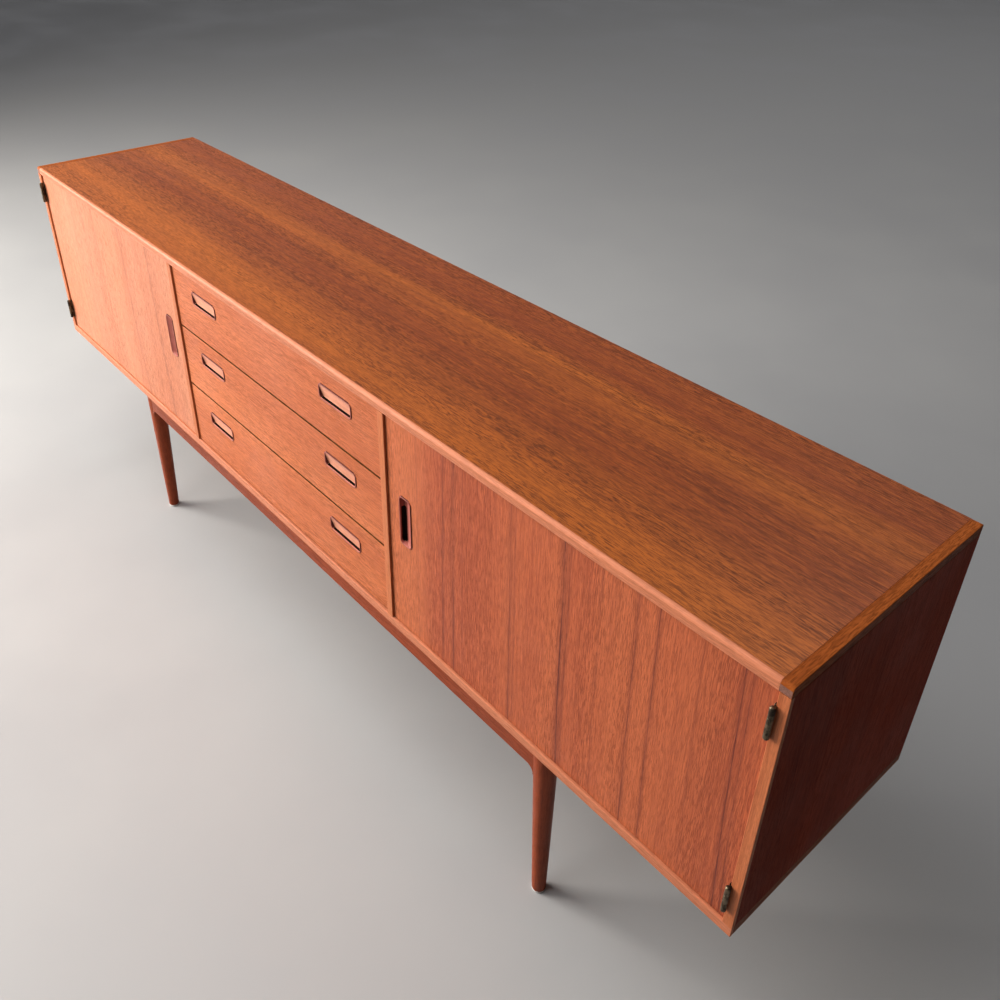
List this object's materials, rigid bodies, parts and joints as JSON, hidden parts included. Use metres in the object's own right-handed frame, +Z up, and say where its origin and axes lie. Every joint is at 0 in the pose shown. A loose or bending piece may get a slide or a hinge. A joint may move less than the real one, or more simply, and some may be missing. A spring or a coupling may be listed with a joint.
{
  "type": "sideboard",
  "caption": "Long low teak sideboard on tapered legs, with a hinged door at each end and stacked drawers between them.",
  "frame": {"origin": "on the floor under the middle of the object", "axes": "+X along the length, to the right seen from the front; +Y towards the back; +Z up"},
  "size_m": [2.2, 0.4278, 0.855],
  "materials": {
    "teak_top": "oiled teak veneer, straight grain along the length",
    "teak_front": "oiled teak veneer, vertical grain on doors and long grain on drawers",
    "teak_case": "oiled teak veneer on the sides, bottom, partitions and shelves",
    "teak_lipping": "solid teak edge lipping, lighter than the veneer",
    "teak_solid": "solid reddish teak, turned legs and rails",
    "teak_pull": "solid teak cup pull with a silky sheen",
    "drawer_wood": "pale beech drawer sides and runners",
    "plywood": "thin plywood back and drawer bottoms",
    "aged_brass": "dark patinated brass",
    "catch_plastic": "brown moulded plastic",
    "glide_plastic": "white plastic nail glide"
  },
  "bodies": {
    "carcass": {"top_panel": "teak_top", "top_front_lipping": "teak_lipping", "top_end_lipping_left": "teak_lipping", "top_end_lipping_right": "teak_lipping", "bottom_panel": "teak_case", "bottom_front_lipping": "teak_lipping", "back_panel": "plywood", "side_panel_left": "teak_case", "partition_left": "teak_case", "shelf_left": "teak_case", "door_catch_left": "catch_plastic", "hinge_left_upper_frame_leaf": "aged_brass", "hinge_left_lower_frame_leaf": "aged_brass", "side_panel_right": "teak_case", "partition_right": "teak_case", "shelf_right": "teak_case", "door_catch_right": "catch_plastic", "hinge_right_upper_frame_leaf": "aged_brass", "hinge_right_lower_frame_leaf": "aged_brass", "runner_top_left": "drawer_wood", "runner_top_right": "drawer_wood", "runner_middle_left": "drawer_wood", "runner_middle_right": "drawer_wood", "runner_bottom_left": "drawer_wood", "runner_bottom_right": "drawer_wood", "rail_front": "teak_solid", "leg_front_left": "teak_solid", "glide_front_left": "glide_plastic", "leg_front_right": "teak_solid", "glide_front_right": "glide_plastic", "rail_back": "teak_solid", "leg_back_left": "teak_solid", "glide_back_left": "glide_plastic", "leg_back_right": "teak_solid", "glide_back_right": "glide_plastic", "cross_rail_left": "teak_solid", "cross_rail_right": "teak_solid"},
    "left_door": {"door_left": "teak_front", "door_pull_left": "teak_pull", "hinge_left_upper_door_leaf": "aged_brass", "hinge_left_lower_door_leaf": "aged_brass"},
    "right_door": {"door_right": "teak_front", "door_pull_right": "teak_pull", "hinge_right_upper_door_leaf": "aged_brass", "hinge_right_lower_door_leaf": "aged_brass"},
    "top_drawer": {"drawer_top_front": "teak_front", "drawer_top_box": "drawer_wood", "drawer_top_bottom": "plywood", "drawer_top_pull_left": "teak_pull", "drawer_top_pull_right": "teak_pull"},
    "middle_drawer": {"drawer_middle_front": "teak_front", "drawer_middle_box": "drawer_wood", "drawer_middle_bottom": "plywood", "drawer_middle_pull_left": "teak_pull", "drawer_middle_pull_right": "teak_pull"},
    "bottom_drawer": {"drawer_bottom_front": "teak_front", "drawer_bottom_box": "drawer_wood", "drawer_bottom_bottom": "plywood", "drawer_bottom_pull_left": "teak_pull", "drawer_bottom_pull_right": "teak_pull"}
  },
  "joints": [
    {"name": "left_door_hinge", "type": "hinge", "parent": "carcass", "child": "left_door", "pos_m": [-1.0845, -0.21015, 0.6285], "axis": [0, 0, -1], "range_deg": [0, 170]},
    {"name": "right_door_hinge", "type": "hinge", "parent": "carcass", "child": "right_door", "pos_m": [1.0845, -0.21015, 0.6285], "axis": [0, 0, 1], "range_deg": [0, 170]},
    {"name": "top_drawer_slide", "type": "slide", "parent": "carcass", "child": "top_drawer", "axis": [0, -1, 0], "range_m": [0, 0.3]},
    {"name": "middle_drawer_slide", "type": "slide", "parent": "carcass", "child": "middle_drawer", "axis": [0, -1, 0], "range_m": [0, 0.3]},
    {"name": "bottom_drawer_slide", "type": "slide", "parent": "carcass", "child": "bottom_drawer", "axis": [0, -1, 0], "range_m": [0, 0.3]}
  ]
}
